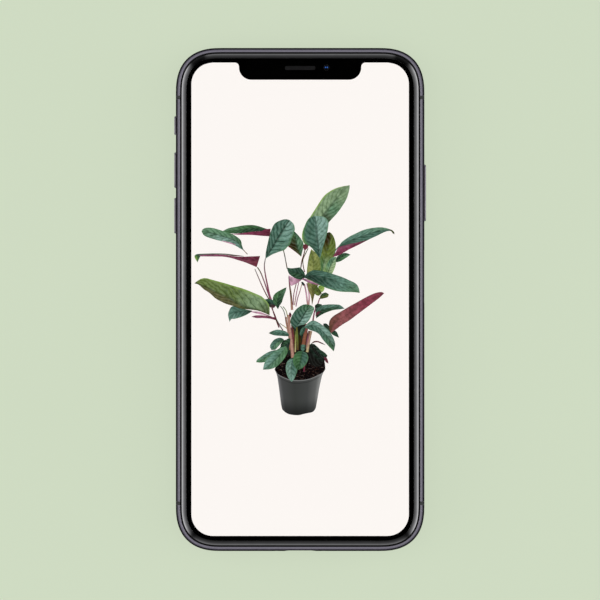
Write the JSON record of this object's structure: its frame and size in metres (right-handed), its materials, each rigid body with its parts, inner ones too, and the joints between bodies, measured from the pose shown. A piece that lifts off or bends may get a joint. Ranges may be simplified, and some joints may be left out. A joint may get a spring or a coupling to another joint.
{
  "type": "smartphone",
  "caption": "Slab smartphone with a notched display in a round-sided metal band, glass front and back, side keys, a card tray and a two-lens rear camera.",
  "frame": {"origin": "below the middle of the body, on the surface that the rear camera surround rests on", "axes": "+Z out of the display, +Y towards the top edge with the notch, +X the right side seen from the front"},
  "size_m": [0.0718, 0.1436, 0.0087],
  "materials": {
    "graphite_steel": "satin, dark vapour-deposited coat",
    "dark_plastic": "moulded, matte black",
    "cover_glass": "polished, clear, with a black printed border",
    "rear_glass": "polished, dark ink behind the glass",
    "lens_glass": "polished, coated dark blue",
    "display": "lit display panel",
    "plain_steel": "stamped, plain",
    "battery_wrap": "black foil pouch",
    "circuit_board": "solder mask",
    "copper": "wound copper wire",
    "ferrite": "grey ferrite film",
    "woven_steel": "fine woven mesh, blackened",
    "card_plastic": "white plastic card"
  },
  "bodies": {
    "phone": {"antenna_break_lower_left": "dark_plastic", "antenna_break_lower_right": "dark_plastic", "antenna_break_upper_left": "dark_plastic", "antenna_break_upper_right": "dark_plastic", "band_bottom": "graphite_steel", "band_left": "graphite_steel", "band_right": "graphite_steel", "band_top": "graphite_steel", "battery_long_cell": "battery_wrap", "battery_short_cell": "battery_wrap", "board_screw_1": "plain_steel", "board_screw_2": "plain_steel", "board_screw_3": "plain_steel", "bottom_flex": "circuit_board", "bottom_screw_left": "plain_steel", "bottom_screw_right": "plain_steel", "camera_bracket": "plain_steel", "camera_trim": "graphite_steel", "card_reader": "plain_steel", "charging_coil": "copper", "chassis_plate": "plain_steel", "cover_glass": "cover_glass", "display_carrier": "dark_plastic", "display_panel": "display", "display_shield": "plain_steel", "dot_projector": "dark_plastic", "earpiece_mesh": "woven_steel", "earpiece_receiver": "dark_plastic", "ferrite_sheet": "ferrite", "flash_lens": "cover_glass", "front_camera": "dark_plastic", "haptic_motor": "plain_steel", "infrared_camera": "dark_plastic", "logic_board": "circuit_board", "loudspeaker": "dark_plastic", "microphone_mesh": "woven_steel", "mute_switch_base": "dark_plastic", "port_shell": "plain_steel", "port_tongue": "dark_plastic", "power_shield": "plain_steel", "processor_shield": "plain_steel", "proximity_sensor": "dark_plastic", "radio_shield": "plain_steel", "rear_glass": "rear_glass", "sensor_bracket": "plain_steel", "side_contact": "dark_plastic", "speaker_mesh": "woven_steel", "tele_camera": "dark_plastic", "tele_lens_cover": "lens_glass", "volume_down_contact": "dark_plastic", "volume_up_contact": "dark_plastic", "wide_camera": "dark_plastic", "wide_lens_cover": "lens_glass"},
    "side_key": {"side_key": "graphite_steel"},
    "volume_up_key": {"volume_up_key": "graphite_steel"},
    "volume_down_key": {"volume_down_key": "graphite_steel"},
    "mute_switch": {"mute_switch": "graphite_steel"},
    "card_tray": {"card_tray": "graphite_steel", "phone_card": "card_plastic"}
  },
  "joints": [
    {"name": "side_key_press", "type": "slide", "parent": "phone", "child": "side_key", "axis": [-1, 0, 0], "range_m": [0, 0.0003], "stiffness_N_per_m": 1000},
    {"name": "volume_up_press", "type": "slide", "parent": "phone", "child": "volume_up_key", "axis": [1, 0, 0], "range_m": [0, 0.0003], "stiffness_N_per_m": 1000},
    {"name": "volume_down_press", "type": "slide", "parent": "phone", "child": "volume_down_key", "axis": [1, 0, 0], "range_m": [0, 0.0003], "stiffness_N_per_m": 1000},
    {"name": "mute_switch_slide", "type": "slide", "parent": "phone", "child": "mute_switch", "axis": [0, 0, -1], "range_m": [0, 0.0009]},
    {"name": "card_tray_slide", "type": "slide", "parent": "phone", "child": "card_tray", "axis": [1, 0, 0], "range_m": [0, 0.014]}
  ]
}
